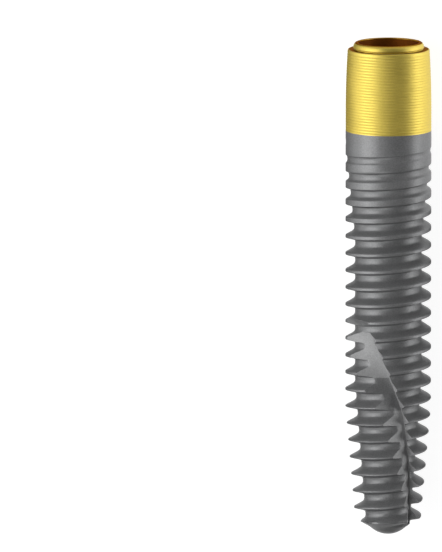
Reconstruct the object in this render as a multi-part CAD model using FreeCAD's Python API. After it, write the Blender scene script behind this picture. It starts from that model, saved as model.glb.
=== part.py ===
import FreeCAD, Part
import math
import os

# Dental implant: a screw turned and thread-milled from one titanium bar, all dimensions in mm.
# It lies on its side along Y, with its head towards +Y and one cutting flute up.
# The origin is the centre of the platform, which is the flat top of the rim at the head.
# It is built standing on its tip, with depths measured down from the platform, and then laid down.

# Overall
body_diameter = 4.0
total_length = 23.2

# Abutment connection inside the head: mouth, internal hexagon, hole for the abutment screw
hexagon_across_flats = 2.42
hexagon_depth = 1.60
mouth_clearance = 0.013
mouth_depth = 0.60
screw_hole_diameter = 1.60
screw_hole_depth = 5.20
screw_hole_point_deg = 59.0

# Rim that the abutment seats on, shoulder round it, and neck that flares to the body
rim_wall = 0.24
rim_height = 0.32
rim_edge = 0.07
neck_flare = 0.09
neck_flare_length = 2.88

# Bone thread: single start, right-hand. Its groove runs in on a cone, keeps to a straight core,
# and tapers to the tip. The crests taper too, from a little further down.
pitch = 0.80
thread_start_depth = 4.65
full_thread_depth = 9.16
root_diameter = 3.096
root_taper_from = 15.8
root_taper_slope = 0.0768
crest_taper_from = 17.18
crest_taper_slope = 0.0866
sharpest_crest_land = 0.034
head_flank_deg = 29.0
tip_flank_deg = 14.0
front_crest_depth = 9.73

# Domed tip and the cone that trims the last turn
dome_radius = 1.185
dome_rim_diameter = 1.70
tip_cone_deg = 29.5

# Cutting flutes, wound the other way from the thread: a steep face, a narrow bottom and a wide back.
# Each is at full depth from flute_full_depth down to the tip, and above that it fans out and runs out.
# Angles say where a line of the first flute stands there, from the top of the lying implant, and
# twists say how many degrees it turns in each mm, below there and in the run-out.
flute_count = 2
flute_start_depth = 13.1
flute_full_depth = 17.3
flute_core_diameter = 2.64
flute_core_slope = 0.068
flute_runout_radius = 21.8
flute_end_length = 0.80
flute_end_rise = 0.30
flute_bottom_width = 0.12
flute_bottom_deg = 26.5
flute_bottom_twist = 11.5
flute_bottom_runout_twist = 16.3
flute_face_deg = 23.5
flute_face_twist = 8.2
flute_face_runout_twist = 11.2
flute_back_deg = -13.5
flute_back_twist = 7.5
flute_back_runout_twist = 18.8

# How far the cutters reach past the metal
lip_overrun = 0.05
sky_overrun = 0.90
tip_overrun = 0.10

# Points on the curves that guide the cutters
thread_points_per_turn = 10
flute_points = 12

body_radius = body_diameter / 2
mouth_radius = hexagon_across_flats / math.sqrt(3) + mouth_clearance
rim_radius = mouth_radius + rim_wall
shoulder_radius = body_radius - neck_flare
hexagon_floor = mouth_depth + hexagon_depth
screw_hole_floor = hexagon_floor + screw_hole_depth

centre = FreeCAD.Vector(0, 0, 0)
across = FreeCAD.Vector(1, 0, 0)
upright = FreeCAD.Vector(0, 0, 1)


def at(depth, distance):
    """A point of a turned outline: its depth below the platform and its distance from the axis."""
    return FreeCAD.Vector(distance, 0, -depth)


def around(depth, distance, angle):
    """A point at an angle in radians round the axis, from the side that comes to lie on top."""
    return FreeCAD.Vector(distance * math.sin(angle), -distance * math.cos(angle), -depth)


def turned(edges):
    """A solid turned about the axis from a closed outline."""
    return Part.Face(Part.Wire(edges)).revolve(centre, upright, 360)


def lines(points):
    return [Part.LineSegment(first, second).toShape() for first, second in zip(points, points[1:])]


def crest_radius(depth):
    return body_radius - crest_taper_slope * max(0.0, depth - crest_taper_from)


def root_radius(depth):
    full_radius = root_diameter / 2
    run_in_slope = (body_radius - full_radius) / (full_thread_depth - thread_start_depth)
    run_in = run_in_slope * max(0.0, full_thread_depth - depth)
    return full_radius + run_in - root_taper_slope * max(0.0, depth - root_taper_from)


def blank():
    """The turned body before thread, flutes and bore: rim, neck, crest envelope, trimming cone and dome."""
    neck_end = rim_height + neck_flare_length
    dome_rim = dome_rim_diameter / 2
    dome_centre = total_length - dome_radius
    half_dome = math.asin(dome_rim / dome_radius)
    dome_rim_depth = dome_centre + dome_radius * math.cos(half_dome)
    cone_slope = math.tan(math.radians(tip_cone_deg))
    taper = crest_taper_slope * cone_slope
    cone_radius = (crest_radius(dome_rim_depth) - taper * dome_rim) / (1 - taper)
    cone_depth = dome_rim_depth - cone_slope * (cone_radius - dome_rim)

    head = [at(0, 0), at(0, rim_radius - rim_edge), at(rim_edge, rim_radius), at(rim_height, rim_radius),
            at(rim_height, shoulder_radius)]
    neck_middle = at((rim_height + neck_end) / 2, body_radius - neck_flare / 4)
    body = [at(neck_end, body_radius), at(crest_taper_from, body_radius), at(cone_depth, cone_radius),
            at(dome_rim_depth, dome_rim)]
    dome_middle = at(dome_centre + dome_radius * math.cos(half_dome / 2), dome_radius * math.sin(half_dome / 2))
    dome_end = at(total_length, 0)
    neck = Part.Arc(head[-1], neck_middle, body[0]).toShape()
    dome = Part.Arc(body[-1], dome_middle, dome_end).toShape()
    return turned(lines(head) + [neck] + lines(body) + [dome] + lines([dome_end, head[0]]))


def wound_solid(section_at, places, stretch):
    """A closed solid between curves that wind side by side, with ruled faces and flat ends.

    section_at gives the corners of the section at a place, in order round it. Each face spans one
    stretch of the places.
    """
    sections = [section_at(place) for place in places]
    curves = []
    for corners in zip(*sections):
        curve = Part.BSplineCurve()
        curve.interpolate(Points=list(corners), Parameters=places)
        curves.append(curve)
    faces = []
    forward = 1
    for curve, neighbour in zip(curves, curves[1:] + curves[:1]):
        for start, end in zip(places[::stretch], places[stretch::stretch]):
            faces += Part.makeRuledSurface(curve.toShape(start, end), neighbour.toShape(start, end), forward).Faces
    for corners in (sections[0], sections[-1]):
        faces.append(Part.Face(Part.makePolygon(corners + corners[:1])))
    shell = Part.makeShell(faces)
    shell.sewShape()
    solid = Part.makeSolid(shell)
    if solid.Volume < 0:
        solid.reverse()
    return solid


def thread_section(turn):
    """The groove's section at a place counted in turns: a form that never changes and stands on the root.

    It is drawn a little past the crest. Its floor is as wide as leaves the thinnest crest its land.
    """
    deepest = max(crest_radius(depth) - root_radius(depth)
                  for depth in (full_thread_depth, root_taper_from, crest_taper_from, total_length))
    head_slope = math.tan(math.radians(head_flank_deg))
    tip_slope = math.tan(math.radians(tip_flank_deg))
    floor_width = pitch - sharpest_crest_land - deepest * (head_slope + tip_slope)
    crest_overrun = sharpest_crest_land / 2
    full_depth = body_radius - root_diameter / 2
    full_crest_land = pitch - floor_width - full_depth * (head_slope + tip_slope)

    angle = -2 * math.pi * turn
    head_corner = front_crest_depth + pitch * turn + full_crest_land / 2 + full_depth * tip_slope
    tip_corner = head_corner + floor_width
    head_root = root_radius(head_corner)
    tip_root = root_radius(tip_corner)
    head_height = max(0.0, crest_radius(head_corner) - head_root) + crest_overrun
    tip_height = max(0.0, crest_radius(tip_corner) - tip_root) + crest_overrun
    return [around(head_corner - head_height * tip_slope, head_root + head_height, angle),
            around(head_corner, head_root, angle),
            around(tip_corner, tip_root, angle),
            around(tip_corner + tip_height * head_slope, tip_root + tip_height, angle)]


def thread_groove():
    """What the thread mill removes, from two turns above the run-in to a turn past the tip."""
    first_turn = math.floor((thread_start_depth - front_crest_depth) / pitch) - 2
    last_turn = math.ceil((total_length - front_crest_depth) / pitch) + 1
    count = (last_turn - first_turn) * thread_points_per_turn
    places = [first_turn + index / thread_points_per_turn for index in range(count + 1)]
    return wound_solid(thread_section, places, thread_points_per_turn)


def flute_angle(depth, full_depth_deg, twist, runout_twist):
    """Where a line of the flute stands round the body, in radians."""
    below = depth - flute_full_depth
    return math.radians(full_depth_deg + below * (twist if below > 0 else runout_twist))


def flute_section(depth):
    """The flute's section at a depth: face lip, both corners of the bottom, back lip, and a point outside."""
    above = max(0.0, flute_full_depth - depth)
    below = max(0.0, depth - flute_full_depth)
    near_end = max(0.0, 1 - (depth - flute_start_depth) / flute_end_length)
    bottom = flute_core_diameter / 2 - flute_core_slope * below
    bottom += above ** 2 / (2 * flute_runout_radius) + flute_end_rise * near_end ** 2
    half_width = flute_bottom_width / 2 / bottom
    face = flute_angle(depth, flute_face_deg, flute_face_twist, flute_face_runout_twist)
    middle = flute_angle(depth, flute_bottom_deg, flute_bottom_twist, flute_bottom_runout_twist)
    back = flute_angle(depth, flute_back_deg, flute_back_twist, flute_back_runout_twist)
    lip = body_radius + lip_overrun
    return [around(depth, lip, face), around(depth, bottom, middle + half_width),
            around(depth, bottom, middle - half_width), around(depth, lip, back),
            around(depth, body_radius + sky_overrun, (face + back) / 2)]


def flute():
    """What the flute cutter removes, from the run-out to past the tip."""
    step = (total_length + tip_overrun - flute_start_depth) / flute_points
    places = [flute_start_depth + step * index for index in range(flute_points + 1)]
    return wound_solid(flute_section, places, flute_points)


def connection():
    """What is bored and broached out of the head."""
    mouth = turned(lines([at(0, 0), at(0, mouth_radius), at(mouth_depth, mouth_radius),
                          at(mouth_depth, 0), at(0, 0)]))
    corner_radius = hexagon_across_flats / math.sqrt(3)
    corners = [around(0, corner_radius, math.radians(60 * index)) for index in range(6)]
    hexagon = Part.Face(Part.makePolygon(corners + corners[:1])).extrude(at(hexagon_floor, 0))
    hole_radius = screw_hole_diameter / 2
    hole_end = screw_hole_floor + hole_radius / math.tan(math.radians(screw_hole_point_deg))
    screw_hole = turned(lines([at(0, 0), at(0, hole_radius), at(screw_hole_floor, hole_radius),
                               at(hole_end, 0), at(0, 0)]))
    return [mouth, hexagon, screw_hole]


def implant_body():
    body = blank().cut(thread_groove())
    for index in range(flute_count):
        cutter = flute()
        cutter.rotate(centre, upright, 360 * index / flute_count)
        body = body.cut(cutter)
    for cutter in connection():
        body = body.cut(cutter)
    body.rotate(centre, across, -90)
    return body


os.makedirs("parts", exist_ok=True)
body = implant_body()
body.exportStep("parts/implant_body.step")
print("valid:", body.isValid(), "solids:", len(body.Solids), "volume:", round(body.Volume, 3))
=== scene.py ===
import math

import bmesh
import bpy
from mathutils import Matrix, Vector


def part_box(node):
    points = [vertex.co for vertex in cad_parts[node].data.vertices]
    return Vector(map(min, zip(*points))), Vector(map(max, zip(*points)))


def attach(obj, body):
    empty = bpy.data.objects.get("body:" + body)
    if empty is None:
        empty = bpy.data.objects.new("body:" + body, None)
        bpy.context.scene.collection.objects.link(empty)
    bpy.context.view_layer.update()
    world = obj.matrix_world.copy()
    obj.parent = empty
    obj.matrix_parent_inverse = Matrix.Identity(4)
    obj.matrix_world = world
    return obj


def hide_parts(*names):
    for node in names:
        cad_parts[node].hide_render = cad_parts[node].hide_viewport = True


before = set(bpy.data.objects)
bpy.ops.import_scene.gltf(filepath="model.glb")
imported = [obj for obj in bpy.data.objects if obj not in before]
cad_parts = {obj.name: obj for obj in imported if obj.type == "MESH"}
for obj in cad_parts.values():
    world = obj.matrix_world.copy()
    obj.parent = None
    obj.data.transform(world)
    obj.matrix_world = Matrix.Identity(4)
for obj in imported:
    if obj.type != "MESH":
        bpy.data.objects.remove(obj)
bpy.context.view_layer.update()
scene = bpy.context.scene
mm = 0.001

# Bone thread
# The implant is one piece, turned from a titanium bar. Its thread is milled with a single start: the groove
# runs in on a cone below the neck, keeps to a straight core and tapers to the tip. The whole is then blasted
# and acid-etched to a fine satin grey, which rounds the crests.
body_low, body_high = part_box("implant_body")
body_radius = (body_high.x - body_low.x) / 2
tip_depth = -body_low.y
pitch = 0.80 * mm
columns_round = 84
head_flank_slope = math.tan(math.radians(29))
tip_flank_slope = math.tan(math.radians(14))
sharpest_land = 0.034 * mm
root_radius = 1.548 * mm
root_taper_from = 15.8 * mm
crest_taper_from = 17.18 * mm
root_taper = 0.0768
crest_taper = 0.0866
thread_start = 4.65 * mm
full_thread = 9.16 * mm
front_crest = 9.73 * mm
root_fillet = 0.30 * mm
crest_round = 0.07 * mm
dome_radius = 1.185 * mm
dome_rim = 0.85 * mm
cone_slope = math.tan(math.radians(29.5))
full_height = body_radius - root_radius
deepest = full_height + root_taper * (crest_taper_from - root_taper_from)
groove_floor = pitch - sharpest_land - deepest * (head_flank_slope + tip_flank_slope)
full_land = pitch - groove_floor - full_height * (head_flank_slope + tip_flank_slope)
groove_phase = front_crest + full_land / 2 + full_height * tip_flank_slope
dome_centre = tip_depth - dome_radius
cone_end = dome_centre + math.sqrt(dome_radius ** 2 - dome_rim ** 2)
welding = 0.0008 * mm


class Term:
    """A number in a node tree. Written sums of terms add the Math nodes that work them out."""

    def __init__(self, tree, socket):
        self.tree = tree
        self.socket = socket

    def math(self, operation, *others):
        node = self.tree.nodes.new("ShaderNodeMath")
        node.operation = operation
        for place, value in zip(node.inputs, (self, *others)):
            if isinstance(value, Term):
                self.tree.links.new(value.socket, place)
            else:
                place.default_value = value
        return Term(self.tree, node.outputs[0])

    def __add__(self, other):
        return self.math("ADD", other)

    def __sub__(self, other):
        return self.math("SUBTRACT", other)

    def __mul__(self, other):
        return self.math("MULTIPLY", other)

    def __truediv__(self, other):
        return self.math("DIVIDE", other)

    def between(self, low, high):
        return self.math("MAXIMUM", low).math("MINIMUM", high)

    def beyond(self, limit):
        """How far the number is past a limit, and nothing before it."""
        return (self - limit).math("MAXIMUM", 0.0)

    def eased(self):
        """A number from 0 to 1, crowded towards both of them."""
        return (self * math.pi).math("COSINE") * -0.5 + 0.5


def tree_with(name, labels, whole):
    """A Geometry Nodes tree with an input for each label, and those inputs as terms."""
    tree = bpy.data.node_groups.new(name, "GeometryNodeTree")
    tree.interface.new_socket("Geometry", in_out="INPUT", socket_type="NodeSocketGeometry")
    tree.interface.new_socket("Geometry", in_out="OUTPUT", socket_type="NodeSocketGeometry")
    for label in labels:
        kind = "NodeSocketInt" if label in whole else "NodeSocketFloat"
        tree.interface.new_socket(label, in_out="INPUT", socket_type=kind)
    inputs = tree.nodes.new("NodeGroupInput")
    return tree, [Term(tree, inputs.outputs[label]) for label in labels]


def grid_terms(tree, columns, rows):
    """A flat grid, with the share of its width where each point is and the number of its row."""
    grid = tree.nodes.new("GeometryNodeMeshGrid")
    tree.links.new((columns + 1).socket, grid.inputs["Vertices X"])
    tree.links.new(rows.socket, grid.inputs["Vertices Y"])
    split = tree.nodes.new("ShaderNodeSeparateXYZ")
    tree.links.new(tree.nodes.new("GeometryNodeInputPosition").outputs[0], split.inputs[0])
    share = Term(tree, split.outputs["X"]) + 0.5
    row = ((Term(tree, split.outputs["Y"]) + 0.5) * (rows - 1)).math("ROUND")
    return grid, share, row


def wrap_up(tree, grid, side, depth, height, material):
    """Moves the grid's points to their places, joins it where it meets itself, and ends the tree."""
    join = tree.nodes.new("ShaderNodeCombineXYZ")
    for term, label in ((side, "X"), (depth * -1.0, "Y"), (height, "Z")):
        tree.links.new(term.socket, join.inputs[label])
    place = tree.nodes.new("GeometryNodeSetPosition")
    tree.links.new(grid.outputs["Mesh"], place.inputs["Geometry"])
    tree.links.new(join.outputs[0], place.inputs["Position"])
    merge = tree.nodes.new("GeometryNodeMergeByDistance")
    merge.inputs["Distance"].default_value = welding
    realize = tree.nodes.new("GeometryNodeRealizeInstances")
    paint = tree.nodes.new("GeometryNodeSetMaterial")
    paint.inputs["Material"].default_value = material
    out = tree.nodes.new("NodeGroupOutput")
    steps = [place, merge, realize, paint, out]
    for before, after in zip(steps, steps[1:]):
        tree.links.new(before.outputs[0], after.inputs[0])


def made_by(tree, values):
    """The plain mesh that a tree makes with these values for its named inputs."""
    holder = bpy.data.objects.new(tree.name, bpy.data.meshes.new(tree.name))
    scene.collection.objects.link(holder)
    modifier = holder.modifiers.new(tree.name, "NODES")
    modifier.node_group = tree
    for item in tree.interface.items_tree:
        if item.in_out == "INPUT" and item.name in values:
            modifier[item.identifier] = values[item.name]
    mesh = bpy.data.meshes.new_from_object(holder.evaluated_get(bpy.context.evaluated_depsgraph_get()))
    bpy.data.objects.remove(holder)
    return mesh


def noise(tree, scale, detail):
    """A noise in object space, with so many waves to the metre."""
    place = tree.nodes.new("ShaderNodeTexCoord")
    texture = tree.nodes.new("ShaderNodeTexNoise")
    texture.inputs["Scale"].default_value = scale
    texture.inputs["Detail"].default_value = detail
    tree.links.new(place.outputs["Object"], texture.inputs["Vector"])
    return texture.outputs["Fac"]


def blast_group(coarse_scale, fine_scale, fine_share):
    """Grain of a blasted and etched surface: a mottled shade, a roughness and a height."""
    tree = bpy.data.node_groups.new("blasted_grain", "ShaderNodeTree")
    for label, kind in (("Dark", "Color"), ("Light", "Color"), ("Smooth", "Float"), ("Rough", "Float")):
        tree.interface.new_socket(label, in_out="INPUT", socket_type="NodeSocket" + kind)
    for label, kind in (("Color", "Color"), ("Roughness", "Float"), ("Height", "Float")):
        tree.interface.new_socket(label, in_out="OUTPUT", socket_type="NodeSocket" + kind)
    entry = tree.nodes.new("NodeGroupInput")
    leave = tree.nodes.new("NodeGroupOutput")
    coarse = noise(tree, coarse_scale, detail=3)
    fine = noise(tree, fine_scale, detail=2)
    both = tree.nodes.new("ShaderNodeMath")
    both.operation = "MULTIPLY_ADD"
    tree.links.new(fine, both.inputs[0])
    both.inputs[1].default_value = fine_share
    tree.links.new(coarse, both.inputs[2])
    mottle = tree.nodes.new("ShaderNodeMapRange")
    tree.links.new(both.outputs[0], mottle.inputs["Value"])
    mottle.inputs["From Min"].default_value = 1.0
    mottle.inputs["From Max"].default_value = 2.0
    shade = tree.nodes.new("ShaderNodeMix")
    shade.data_type = "RGBA"
    tree.links.new(mottle.outputs["Result"], shade.inputs["Factor"])
    tree.links.new(entry.outputs["Dark"], shade.inputs["A"])
    tree.links.new(entry.outputs["Light"], shade.inputs["B"])
    rough = tree.nodes.new("ShaderNodeMapRange")
    tree.links.new(coarse, rough.inputs["Value"])
    rough.inputs["From Min"].default_value = 0.3
    rough.inputs["From Max"].default_value = 0.7
    tree.links.new(entry.outputs["Smooth"], rough.inputs["To Min"])
    tree.links.new(entry.outputs["Rough"], rough.inputs["To Max"])
    tree.links.new(shade.outputs["Result"], leave.inputs["Color"])
    tree.links.new(rough.outputs["Result"], leave.inputs["Roughness"])
    tree.links.new(fine, leave.inputs["Height"])
    return tree


grain = blast_group(coarse_scale=900, fine_scale=16000, fine_share=2.0)
grain_height = 0.004 * mm
grey_edge = (0.6, 0.6, 0.6)


def blasted_metal(name, dark, light, smooth, rough, bump, metallic, edge):
    """A metal with the blasted grain, between two colours and two roughnesses."""
    material = bpy.data.materials.new(name)
    material.use_nodes = True
    tree = material.node_tree
    shader = tree.nodes["Principled BSDF"]
    shader.inputs["Metallic"].default_value = metallic
    shader.inputs["Specular IOR Level"].default_value = 0.3
    shader.inputs["Specular Tint"].default_value = (*edge, 1)
    group = tree.nodes.new("ShaderNodeGroup")
    group.node_tree = grain
    group.inputs["Dark"].default_value = (*dark, 1)
    group.inputs["Light"].default_value = (*light, 1)
    group.inputs["Smooth"].default_value = smooth
    group.inputs["Rough"].default_value = rough
    tree.links.new(group.outputs["Color"], shader.inputs["Base Color"])
    tree.links.new(group.outputs["Roughness"], shader.inputs["Roughness"])
    relief = tree.nodes.new("ShaderNodeBump")
    relief.inputs["Strength"].default_value = bump
    relief.inputs["Distance"].default_value = grain_height
    tree.links.new(group.outputs["Height"], relief.inputs["Height"])
    tree.links.new(relief.outputs["Normal"], shader.inputs["Normal"])
    return material


titanium = blasted_metal("blasted_titanium", dark=(0.200, 0.202, 0.205), light=(0.270, 0.272, 0.275),
                         smooth=0.40, rough=0.46, bump=0.35, metallic=0.45, edge=grey_edge)

thread_tree, terms = tree_with("wound_thread", [
    "Columns", "Rows in Zone", "Turns", "Top Depth", "Bottom Depth", "Pitch", "Groove Phase",
    "Crest Radius", "Crest Taper From", "Crest Taper", "Root Radius", "Root Taper From", "Root Taper",
    "Run-in From", "Run-in Slope", "Floor Width", "Head Flank Slope", "Tip Flank Slope",
    "Root Fillet", "Crest Round", "Cone End", "Cone End Radius", "Cone Slope", "Dome Centre", "Dome Radius"],
    whole=("Columns", "Rows in Zone", "Turns"))
(columns, zone_rows, turns, top, bottom, thread_pitch, phase,
 crest, crest_from, crest_slope, root, root_from, root_slope,
 run_in_from, run_in_slope, floor_width, head_slope, tip_slope,
 fillet, rounding, cone_depth, cone_radius, cone_fall, dome_middle, dome_size) = terms
zones_in_turn = 4
lowest_land = 0.08 * mm
slack = 0.00001


def crest_at(depth):
    return crest - crest_slope * depth.beyond(crest_from)


def root_at(depth):
    return root + run_in_slope * (run_in_from - depth).beyond(0.0) - root_slope * depth.beyond(root_from)


# Each row of points keeps to its place in the groove's section: floor, head flank, crest, tip flank.
grid, share, row = grid_terms(thread_tree, columns, turns * zone_rows * zones_in_turn + 1)
zone_place = row / zone_rows
turn = (zone_place / float(zones_in_turn) + slack).math("FLOOR")
turn_start = phase + thread_pitch * (turn - share)
in_turn = (zone_place - turn * float(zones_in_turn)).math("MAXIMUM", 0.0)
middle = turn_start + thread_pitch * 0.5
land_height = (crest_at(middle) - root_at(middle)).math("MAXIMUM", lowest_land)
head_flank = land_height * head_slope
tip_flank = land_height * tip_slope
land = thread_pitch - floor_width - head_flank - tip_flank
below_corner = floor_width * in_turn.between(0.0, 1.0).eased()
for zone, width in enumerate((head_flank, land, tip_flank), 1):
    below_corner = below_corner + width * (in_turn - float(zone)).between(0.0, 1.0).eased()
depth = (turn_start + below_corner).between(top, bottom)
# The radius is the blank's, less the groove's, with both corners rounded.
below = (depth - phase + thread_pitch * share).math("FLOORED_MODULO", thread_pitch)
corner = depth - below
facing_head = root_at(corner + floor_width) + (below - floor_width) / head_slope
facing_tip = root_at(corner + thread_pitch) + (thread_pitch - below) / tip_slope
last_flank = root_at(corner) - below / tip_slope
tooth = facing_head.math("SMOOTH_MIN", facing_tip, rounding)
groove = root_at(depth).math("SMOOTH_MAX", tooth, fillet).math("SMOOTH_MAX", last_flank, fillet)
cone = cone_radius + (cone_depth - depth) / cone_fall
from_dome = depth - dome_middle
dome = (dome_size * dome_size - from_dome * from_dome).math("MAXIMUM", 0.0).math("SQRT")
blank = crest_at(depth).math("SMOOTH_MIN", cone.math("SMOOTH_MAX", dome, rounding), rounding)
radius = blank.math("SMOOTH_MIN", groove, rounding)
angle = share * math.tau
wrap_up(thread_tree, grid, radius * angle.math("SINE"), depth, radius * angle.math("COSINE"), titanium)

# The thread's band begins where the neck's rings end.
first_ring = 0.434 * mm
ring_pitch = 0.132 * mm
rings = 28
gold_end = first_ring + rings * ring_pitch
dome_part_in_thread = 0.09 * mm
dome_top = cone_end + dome_part_in_thread
turns_over = 3
thread_turns = math.ceil((tip_depth - gold_end) / pitch) + turns_over
thread_phase = groove_phase - pitch * math.ceil((groove_phase - gold_end) / pitch + 1)
thread_band = made_by(thread_tree, {
    "Columns": columns_round, "Rows in Zone": 5, "Turns": thread_turns,
    "Top Depth": gold_end, "Bottom Depth": dome_top, "Pitch": pitch, "Groove Phase": thread_phase,
    "Crest Radius": body_radius, "Crest Taper From": crest_taper_from, "Crest Taper": crest_taper,
    "Root Radius": root_radius, "Root Taper From": root_taper_from, "Root Taper": root_taper,
    "Run-in From": full_thread, "Run-in Slope": full_height / (full_thread - thread_start),
    "Floor Width": groove_floor, "Head Flank Slope": head_flank_slope, "Tip Flank Slope": tip_flank_slope,
    "Root Fillet": root_fillet, "Crest Round": crest_round,
    "Cone End": cone_end, "Cone End Radius": dome_rim, "Cone Slope": cone_slope,
    "Dome Centre": dome_centre, "Dome Radius": dome_radius})

# Neck
# Above the thread the body stays smooth and flares in to the shoulder. A round-nosed tool cuts closed
# rings into it, so fine that they read as a sheen, and a voltage bath then anodises it gold.
shoulder_depth = 0.32 * mm
neck_flare = 0.09 * mm
neck_flare_length = 2.88 * mm
gold = blasted_metal("anodised_gold", dark=(0.76, 0.59, 0.115), light=(0.84, 0.66, 0.138),
                     smooth=0.44, rough=0.50, bump=0.15, metallic=0.75, edge=grey_edge)
neck_tree, terms = tree_with("ringed_neck", [
    "Columns", "Rows in Ring", "Rings", "First Ring", "Ring Pitch", "Ring Depth", "Ring Sharpness",
    "Body Radius", "Flare", "Flare Top", "Flare Length"], whole=("Columns", "Rows in Ring", "Rings"))
(columns, ring_rows, ring_count, ring_start, ring_step, ring_depth, ring_sharpness,
 full, flare, flare_top, flare_length) = terms
grid, share, row = grid_terms(neck_tree, columns, ring_rows * ring_count + 1)
ring_place = row / ring_rows
depth = ring_start + ring_step * ring_place
near_shoulder = ((flare_top + flare_length - depth) / flare_length).math("MAXIMUM", 0.0)
scallop = ((ring_place * math.tau).math("COSINE") * -0.5 + 0.5).math("POWER", ring_sharpness)
radius = full - flare * near_shoulder * near_shoulder - ring_depth * scallop
angle = share * math.tau
wrap_up(neck_tree, grid, radius * angle.math("SINE"), depth, radius * angle.math("COSINE"), gold)
neck_band = made_by(neck_tree, {
    "Columns": columns_round, "Rows in Ring": 6, "Rings": rings,
    "First Ring": first_ring, "Ring Pitch": ring_pitch, "Ring Depth": 0.018 * mm, "Ring Sharpness": 3.0,
    "Body Radius": body_radius, "Flare": neck_flare, "Flare Top": shoulder_depth,
    "Flare Length": neck_flare_length})


# Rim and connection
# The head ends in a shoulder and a raised rim that the abutment seats on. Inside are the mouth, the
# internal hexagon that the driver turns, and the tapped hole for the abutment screw.
def turned(rows):
    """A mesh turned from rows of depth, radius and number of flats, 0 for a round row."""
    points = []
    for depth, radius, flats in rows:
        for column in range(columns_round):
            angle = math.tau * column / columns_round
            reach = radius
            if flats:
                flat_angle = math.tau / flats
                reach = radius / math.cos(angle % flat_angle - flat_angle / 2)
            points.append((reach * math.sin(angle), -depth, reach * math.cos(angle)))
    faces = []
    for row in range(len(rows) - 1):
        for column in range(columns_round):
            after = (column + 1) % columns_round
            faces.append((row * columns_round + column, row * columns_round + after,
                          (row + 1) * columns_round + after, (row + 1) * columns_round + column))
    mesh = bpy.data.meshes.new("turned")
    mesh.from_pydata(points, [], faces)
    return mesh


def arc(depth, radius, size, start_deg, end_deg, steps=4):
    """Rows round a corner. 0 degrees points away from the axis and 90 towards the head."""
    rows = []
    for step in range(steps + 1):
        angle = math.radians(start_deg + (end_deg - start_deg) * step / steps)
        rows.append((depth - size * math.sin(angle), radius + size * math.cos(angle), 0))
    return rows


# A darker, browner copy of the gold: painted shade on the ledge under the rim, on the rim's top and on the
# lip into the mouth.
gold_painted_shade = blasted_metal("gold_with_painted_shade", dark=(0.36, 0.21, 0.03), light=(0.42, 0.25, 0.04),
                     smooth=0.30, rough=0.36, bump=0.1, metallic=1.0, edge=(0.3, 0.15, 0.02))
# The bore's gold anodising, painted dark brown as the shade inside the mouth and the hexagon.
bore_painted_shade = blasted_metal("bore_gold_with_painted_shade", dark=(0.17, 0.050, 0.006), light=(0.20, 0.060, 0.008),
                       smooth=0.55, rough=0.65, bump=0.15, metallic=0.6, edge=(0.3, 0.1, 0.02))
bare = blasted_metal("machined_titanium", dark=(0.15, 0.15, 0.15), light=(0.20, 0.20, 0.20),
                     smooth=0.25, rough=0.35, bump=0.1, metallic=1.0, edge=grey_edge)

hexagon_flat = 1.21 * mm
hexagon_clearance = 0.013 * mm
rim_wall = 0.24 * mm
mouth_radius = hexagon_flat / math.cos(math.radians(30)) + hexagon_clearance
rim_radius = mouth_radius + rim_wall
rim_round = 0.15 * mm
rim_stretch = 1.6
mouth_round = 0.04 * mm
shoulder_round = 0.05 * mm
undercut = 0.03 * mm
mouth_depth = 0.60 * mm
hexagon_depth = 2.20 * mm
mouth_bevel = 0.04 * mm
mouth_step = 0.03 * mm
hexagon_bevel = 0.02 * mm
hexagon_lead = 0.05 * mm
shoulder_radius = body_radius - neck_flare
neck_top_radius = body_radius - neck_flare * (1 - (first_ring - shoulder_depth) / neck_flare_length) ** 2
shoulder_rows = [(first_ring, neck_top_radius, 0)]
shoulder_rows += arc(shoulder_depth + shoulder_round, shoulder_radius - shoulder_round, shoulder_round, 0, 90)
rim_rows = arc(shoulder_depth - undercut, rim_radius - undercut, undercut, -90, -210)
# The ledge in the corner under the rim gets the painted shade, as the shadow there.
ledge_rows = [shoulder_rows[-1], rim_rows[0]]
rim_edge = [(depth * rim_stretch, radius, 0)
            for depth, radius, flats in arc(rim_round, rim_radius - rim_round, rim_round, 0, 90, steps=9)]
# The rim's rounding keeps the gold for its first rows. The rest, over its top, gets the painted shade.
edge_rows_before_painted_shade = 7
rim_rows += rim_edge[:edge_rows_before_painted_shade]
seat_rows = rim_edge[edge_rows_before_painted_shade - 1:]
seat_rows += arc(mouth_round, mouth_radius + mouth_round, mouth_round, 90, 180)

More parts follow.
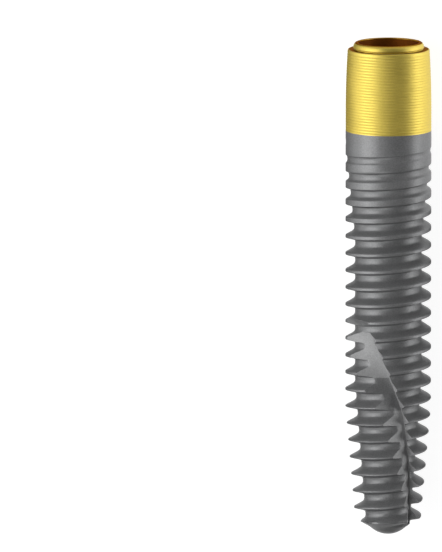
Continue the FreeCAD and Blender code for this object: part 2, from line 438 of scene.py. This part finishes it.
screw_crest = 1.0 * mm
screw_root = 0.8 * mm
screw_pitch = 0.4 * mm
screw_flank = math.tan(math.radians(30))
screw_floor = 0.119 * mm
screw_round = 0.02 * mm
screw_run_in = 0.25 * mm
screw_run_in_slope = 0.96
screw_run_out = 0.3 * mm
screw_end = 7.2 * mm
drill_end = 7.4 * mm
drill_radius = 0.7 * mm
drill_half_point = math.tan(math.radians(59))
mouth_rows = [seat_rows[-1], (mouth_depth - mouth_bevel, mouth_radius, 0),
              (mouth_depth, mouth_radius - mouth_step, 0),
              (mouth_depth, hexagon_flat + hexagon_bevel, 6), (mouth_depth + hexagon_lead, hexagon_flat, 6),
              (hexagon_depth, hexagon_flat, 6), (hexagon_depth, screw_crest, 0)]
never_reached = 1.0
screw_band = made_by(thread_tree, {
    "Columns": columns_round, "Rows in Zone": 2, "Turns": 17,
    "Top Depth": hexagon_depth, "Bottom Depth": screw_end, "Pitch": screw_pitch,
    "Groove Phase": hexagon_depth - screw_pitch,
    "Crest Radius": screw_crest, "Crest Taper From": screw_end - screw_run_out, "Crest Taper": 1.0,
    "Root Radius": screw_root, "Root Taper From": never_reached, "Root Taper": 0.0,
    "Run-in From": hexagon_depth + screw_run_in, "Run-in Slope": screw_run_in_slope,
    "Floor Width": screw_floor, "Head Flank Slope": screw_flank, "Tip Flank Slope": screw_flank,
    "Root Fillet": screw_round, "Crest Round": screw_round,
    "Cone End": never_reached, "Cone End Radius": never_reached, "Cone Slope": 1.0,
    "Dome Centre": 0.0, "Dome Radius": 0.0})
drill_rows = [(screw_end, drill_radius, 0), (drill_end, drill_radius, 0),
              (drill_end + drill_radius / drill_half_point, 0.0, 0)]

# Tip
# The end of the same bar is turned to a low dome, which goes into the bone first. A cone above it trims the
# last turn of the thread, and both are blasted with the rest.
half_dome = math.acos((dome_top - dome_centre) / dome_radius)
dome_steps = 9
tip_rows = []
for step in range(dome_steps, -1, -1):
    from_axis = half_dome * step / dome_steps
    tip_rows.append((dome_centre + dome_radius * math.cos(from_axis), dome_radius * math.sin(from_axis), 0))

# Cutting flutes
# Two flutes are milled across the lower turns before the blasting, wound against the thread. Each has a
# steep cutting face, a narrow bottom and a wide back, and fans out and runs out at its upper end. Its cutting
# face, run-out and lower end get a lighter, more diffuse titanium, which is painted light.
# A lighter, more diffuse copy of the blasted titanium: painted light on the flutes' cutting faces, run-outs
# and lower ends.
flute_painted_light = blasted_metal("titanium_with_painted_light", dark=(0.300, 0.302, 0.305), light=(0.400, 0.402, 0.405),
                       smooth=0.50, rough=0.58, bump=0.4, metallic=0.2, edge=grey_edge)
flute_tree, terms = tree_with("flute_cutter", [
    "Points in Side", "Rows", "Top Depth", "Full Depth", "End Depth", "Lip Radius", "Sky Radius",
    "Core Radius", "Core Slope", "Run-out Radius", "End Length", "End Rise", "Bottom Width",
    "Face Angle", "Face Twist", "Face Run-out Twist", "Bottom Angle", "Bottom Twist", "Bottom Run-out Twist",
    "Back Angle", "Back Twist", "Back Run-out Twist"], whole=("Points in Side", "Rows"))
(side_points, rows, top, full, end, lip, sky, core, core_slope, runout, end_length, end_rise, bottom_width,
 face_angle, face_twist, face_runout, bottom_angle, bottom_twist, bottom_runout,
 back_angle, back_twist, back_runout) = terms
corner_count = 5
grid, share, row = grid_terms(flute_tree, side_points * corner_count, rows)
inner_row = (row - 1.0).between(0.0, rows - 3)
depth = top + (end - top) * inner_row / (rows - 3)
above = (full - depth).beyond(0.0)
below = (depth - full).beyond(0.0)


def line_angle(at_full, twist, runout_twist):
    """Where a line of the flute stands round the body, from its angle at full depth and its twists per mm."""
    return at_full + (twist * below - runout_twist * above) / mm


near_end = (top + end_length - depth).beyond(0.0) / end_length
bottom = core - core_slope * below + above * above / (runout * 2.0) + end_rise * near_end * near_end
half_width = bottom_width / bottom * 0.5
face = line_angle(face_angle, face_twist, face_runout)
floor = line_angle(bottom_angle, bottom_twist, bottom_runout)
back = line_angle(back_angle, back_twist, back_runout)
corners = [(face, lip), (floor + half_width, bottom), (floor - half_width, bottom), (back, lip),
           ((face + back) * 0.5, sky)]
# The first row and the last one gather in a point, which closes the cutter's ends.
capped = row.math("MINIMUM", rows - 1 - row).math("MINIMUM", 1.0)
side = None
height = None
for number, (angle, radius) in enumerate(corners + corners[:1]):
    near = (share * corner_count - float(number)).math("ABSOLUTE")
    weight = (near * -1.0 + 1.0).beyond(0.0) * capped
    across = radius * angle.math("SINE") * weight
    high = radius * angle.math("COSINE") * weight
    side = side + across if side else across
    height = height + high if height else high
cap = capped * -1.0 + 1.0
middle_angle = (floor + back) * 0.5
side = side + middle_angle.math("SINE") * lip * cap
height = height + middle_angle.math("COSINE") * lip * cap
wrap_up(flute_tree, grid, side, depth, height, titanium)
degree = math.radians(1)
flute_band = made_by(flute_tree, {
    "Points in Side": 6, "Rows": 63,
    "Top Depth": 12.8 * mm, "Full Depth": 17.3 * mm, "End Depth": tip_depth + 0.10 * mm,
    "Lip Radius": body_radius + 0.05 * mm, "Sky Radius": body_radius + 0.90 * mm,
    "Core Radius": 1.32 * mm, "Core Slope": 0.068, "Run-out Radius": 28.0 * mm,
    "End Length": 0.80 * mm, "End Rise": 0.24 * mm, "Bottom Width": 0.12 * mm,
    "Face Angle": 26.0 * degree, "Face Twist": 7.9 * degree, "Face Run-out Twist": 12.0 * degree,
    "Bottom Angle": 26.5 * degree, "Bottom Twist": 9.6 * degree, "Bottom Run-out Twist": 16.3 * degree,
    "Back Angle": -13.5 * degree, "Back Twist": 7.5 * degree, "Back Run-out Twist": 18.8 * degree})

# Whole body
# All of it is one piece of titanium, so the bands meet in one closed skin, and the flutes are cut out of it.
# The cutting faces, the run-out and the lower end get the lighter titanium, which is painted light. The
# stretches between them stay plain blasted titanium.
materials = [gold, titanium, bare, bore_painted_shade, gold_painted_shade, flute_painted_light]
face_turn = 0.75
stretches_without_painted_light = ((13.5 * mm, 0.0), (17.2 * mm, 15.55 * mm))
sharpest_bend = math.radians(40)


def closed(parts, name):
    """One closed object from bands of faces, each with its material."""
    mesh = bpy.data.meshes.new(name)
    form = bmesh.new()
    for part, material in parts:
        before = len(form.faces)
        form.from_mesh(part)
        form.faces.ensure_lookup_table()
        for face in form.faces[before:]:
            face.material_index = materials.index(material)
            face.smooth = True
    bmesh.ops.remove_doubles(form, verts=form.verts, dist=welding)
    bmesh.ops.recalc_face_normals(form, faces=form.faces)
    form.to_mesh(mesh)
    form.free()
    for material in materials:
        mesh.materials.append(material)
    thing = bpy.data.objects.new(name, mesh)
    scene.collection.objects.link(thing)
    return thing


body = closed([(thread_band, titanium), (neck_band, gold), (turned(shoulder_rows), gold),
               (turned(ledge_rows), gold_painted_shade), (turned(rim_rows), gold), (turned(seat_rows), gold_painted_shade),
               (turned(mouth_rows), bore_painted_shade), (screw_band, bare), (turned(drill_rows), bare),
               (turned(tip_rows), titanium)], "implant")
cutters = []
for turn_over in (0.0, math.pi):
    cutter = closed([(flute_band, titanium)], "flute")
    # Cutting faces, and the flute's faces outside these stretches, get the painted light.
    for face in cutter.data.polygons:
        onward = Vector((face.center.z, 0, -face.center.x)).normalized()
        without_painted_light = any(-low < face.center.y < -high for low, high in stretches_without_painted_light)
        if face.normal.dot(onward) > face_turn or not without_painted_light:
            face.material_index = materials.index(flute_painted_light)
    cutter.data.transform(Matrix.Rotation(turn_over, 4, "Y"))
    cut = body.modifiers.new("flute", "BOOLEAN")
    cut.solver = "MANIFOLD"
    cut.object = cutter
    cutters.append(cutter)
cut_mesh = bpy.data.meshes.new_from_object(body.evaluated_get(bpy.context.evaluated_depsgraph_get()))
body.modifiers.clear()
body.data = cut_mesh
for cutter in cutters:
    bpy.data.objects.remove(cutter)
form = bmesh.new()
form.from_mesh(body.data)
for edge in form.edges:
    edge.smooth = edge.calc_face_angle(0.0) < sharpest_bend
form.to_mesh(body.data)
form.free()
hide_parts("implant_body")
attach(body, "root")


# Studio
# A white floor, with paper cards on it that only the metal sees: grey ones darken its edges and its tip, and
# a white one brightens the neck's right edge. There is a softbox at each side and one over the tip, and a
# sky that is pale low down and darker overhead.
def laid_down(name, paper_name, sheets, height):
    """A stage object of flat sheets, each from its left, tip, right and head edges."""
    corners = []
    for left, tipward, right, headward in sheets:
        corners += [(left, tipward, height), (right, tipward, height),
                    (right, headward, height), (left, headward, height)]
    faces = [tuple(range(4 * number, 4 * number + 4)) for number in range(len(sheets))]
    mesh = bpy.data.meshes.new(name)
    mesh.from_pydata(corners, [], faces)
    paper = bpy.data.materials.new(paper_name)
    paper.use_nodes = True
    mesh.materials.append(paper)
    thing = bpy.data.objects.new(name, mesh)
    scene.collection.objects.link(thing)
    return thing


def seen_by_metal_only(card):
    card.visible_camera = False
    card.visible_diffuse = False
    card.visible_shadow = False


floor_half = 1.0
floor_white = 0.90
floor_gap = 0.002 * mm
card_gap = 0.01 * mm
floor_height = body_low.z - floor_gap
card_height = floor_height + card_gap
whole_floor = (-floor_half, -floor_half, floor_half, floor_half)
floor_sheet = laid_down("floor", "white_paper", [whole_floor], floor_height)
paper_tree = floor_sheet.data.materials[0].node_tree
paper_shader = paper_tree.nodes["Principled BSDF"]
paper_shader.inputs["Base Color"].default_value = (0.3, 0.3, 0.3, 1)
paper_shader.inputs["Roughness"].default_value = 0.9
paper_shader.inputs["Specular IOR Level"].default_value = 0.0
paper_shader.inputs["Emission Color"].default_value = (1, 1, 1, 1)
ray = paper_tree.nodes.new("ShaderNodeLightPath")
seen = ray.outputs["Is Camera Ray"]
for kind in ("Is Glossy Ray", "Is Transmission Ray"):
    either = paper_tree.nodes.new("ShaderNodeMath")
    either.operation = "MAXIMUM"
    paper_tree.links.new(seen, either.inputs[0])
    paper_tree.links.new(ray.outputs[kind], either.inputs[1])
    seen = either.outputs[0]
glow = paper_tree.nodes.new("ShaderNodeMath")
glow.operation = "MULTIPLY"
glow.inputs[1].default_value = floor_white
paper_tree.links.new(seen, glow.inputs[0])
paper_tree.links.new(glow.outputs[0], paper_shader.inputs["Emission Strength"])

left_card = (-8 * mm, -27 * mm, -2.4 * mm, 8 * mm)
tip_card = (-40 * mm, -140 * mm, 40 * mm, -27 * mm)
right_card = (2.6 * mm, -27 * mm, 5.2 * mm, -8 * mm)
grey_cards = laid_down("grey_card", "grey_card", [left_card, tip_card, right_card], card_height)
grey_shader = grey_cards.data.materials[0].node_tree.nodes["Principled BSDF"]
grey_shader.inputs["Base Color"].default_value = (0.12, 0.12, 0.12, 1)
grey_shader.inputs["Roughness"].default_value = 0.9
seen_by_metal_only(grey_cards)

neck_card = (2.4 * mm, -7 * mm, 20 * mm, 8 * mm)
white_card = laid_down("white_card", "white_card", [neck_card], card_height)
white_shader = white_card.data.materials[0].node_tree.nodes["Principled BSDF"]
white_shader.inputs["Base Color"].default_value = (0.1, 0.1, 0.1, 1)
white_shader.inputs["Emission Color"].default_value = (1, 1, 1, 1)
white_shader.inputs["Emission Strength"].default_value = 1.3
seen_by_metal_only(white_card)

lamp_distance = 60 * mm
lamps_aim = Vector((0, -4 * mm, 0))


def softbox(name, side_deg, tip_deg, width, length, radiance):
    """A rectangular lamp, so many degrees from overhead to the right and then towards the tip."""
    lamp = bpy.data.lights.new(name, "AREA")
    lamp.shape = "RECTANGLE"
    lamp.size = width
    lamp.size_y = length
    lamp.energy = radiance * math.pi * width * length
    thing = bpy.data.objects.new(name, lamp)
    scene.collection.objects.link(thing)
    thing.rotation_euler = (math.radians(tip_deg), math.radians(side_deg), 0)
    towards = thing.rotation_euler.to_matrix() @ Vector((0, 0, 1))
    thing.location = lamps_aim + lamp_distance * towards
    thing.visible_camera = False


softbox("left_softbox", side_deg=-56, tip_deg=0, width=52 * mm, length=70 * mm, radiance=2.8)
softbox("right_softbox", side_deg=91, tip_deg=0, width=42 * mm, length=70 * mm, radiance=3.0)
softbox("top_softbox", side_deg=-14, tip_deg=38, width=30 * mm, length=26 * mm, radiance=2.0)

world = bpy.data.worlds.new("sky")
scene.world = world
world.use_nodes = True
sky = world.node_tree
background = sky.nodes["Background"]
direction = sky.nodes.new("ShaderNodeTexCoord")
split = sky.nodes.new("ShaderNodeSeparateXYZ")
sky.links.new(direction.outputs["Generated"], split.inputs[0])
fade = sky.nodes.new("ShaderNodeMapRange")
fade.interpolation_type = "SMOOTHSTEP"
fade.inputs["From Min"].default_value = 0.2
fade.inputs["From Max"].default_value = 0.8
fade.inputs["To Min"].default_value = 0.5
fade.inputs["To Max"].default_value = 0.08
sky.links.new(split.outputs["Z"], fade.inputs["Value"])
tip_side = sky.nodes.new("ShaderNodeMapRange")
tip_side.inputs["From Min"].default_value = -0.8
tip_side.inputs["From Max"].default_value = 0.0
tip_side.inputs["To Min"].default_value = 0.0
tip_side.inputs["To Max"].default_value = 1.0
sky.links.new(split.outputs["Y"], tip_side.inputs["Value"])
shaded = sky.nodes.new("ShaderNodeMath")
shaded.operation = "MULTIPLY"
sky.links.new(fade.outputs["Result"], shaded.inputs[0])
sky.links.new(tip_side.outputs["Result"], shaded.inputs[1])
sky_ray = sky.nodes.new("ShaderNodeLightPath")
behind = sky.nodes.new("ShaderNodeMath")
behind.operation = "MAXIMUM"
sky.links.new(shaded.outputs[0], behind.inputs[0])
sky.links.new(sky_ray.outputs["Is Camera Ray"], behind.inputs[1])
sky.links.new(behind.outputs[0], background.inputs["Color"])

# Camera
# A long lens, so that the picture has almost no perspective. It looks down on the lying implant, from a
# little beyond its head.
view_tilt = math.radians(9.1)
frame_height = 25.735 * mm
frame_centre = Vector((-7.80 * mm, -11.02 * mm, 0))
camera = bpy.data.cameras.new("camera")
camera.lens = 1200
distance = frame_height / 2 / (camera.sensor_width / 2 / camera.lens)
camera_thing = bpy.data.objects.new("camera", camera)
scene.collection.objects.link(camera_thing)
camera_thing.location = frame_centre + distance * Vector((0, math.sin(view_tilt), math.cos(view_tilt)))
camera_thing.rotation_euler = (-view_tilt, 0, 0)
camera.clip_start = distance / 10
camera.clip_end = distance * 10
scene.camera = camera_thing
scene.view_settings.view_transform = "Standard"
